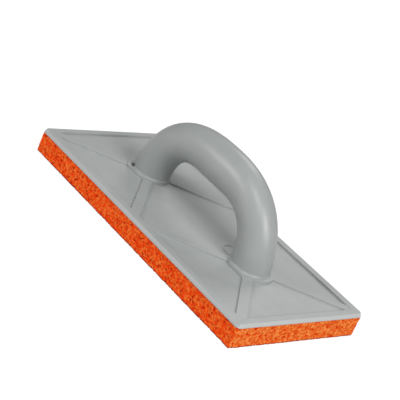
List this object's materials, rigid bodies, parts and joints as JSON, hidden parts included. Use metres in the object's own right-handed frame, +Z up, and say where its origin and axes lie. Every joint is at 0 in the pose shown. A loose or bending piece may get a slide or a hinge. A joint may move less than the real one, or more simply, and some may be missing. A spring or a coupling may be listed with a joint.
{
  "type": "grout float",
  "caption": "Rectangular hand float: sponge pad glued under a ribbed plastic plate, with a closed hollow grip screwed on from below.",
  "frame": {"origin": "centre of the sponge's working face, where the float lies on the floor or the tiles", "axes": "+X along the float's length, +Y across it, +Z up from the working face through the grip"},
  "size_m": [0.28, 0.14, 0.0922],
  "materials": {
    "plate_plastic": "satin injection-moulded plastic, light grey",
    "grip_plastic": "satin injection-moulded plastic, light grey, fine mould texture",
    "screw_steel": "zinc-plated steel",
    "glue": "dried contact adhesive, cream",
    "sponge": "open-cell sponge rubber, orange, with fine dark pores"
  },
  "bodies": {
    "root": {"backing_plate": "plate_plastic", "grip_shell_front": "grip_plastic", "grip_shell_back": "grip_plastic", "grip_screw_left_front": "screw_steel", "grip_screw_left_back": "screw_steel", "grip_screw_right_front": "screw_steel", "grip_screw_right_back": "screw_steel", "glue_layer": "glue", "sponge_pad": "sponge"}
  },
  "joints": []
}
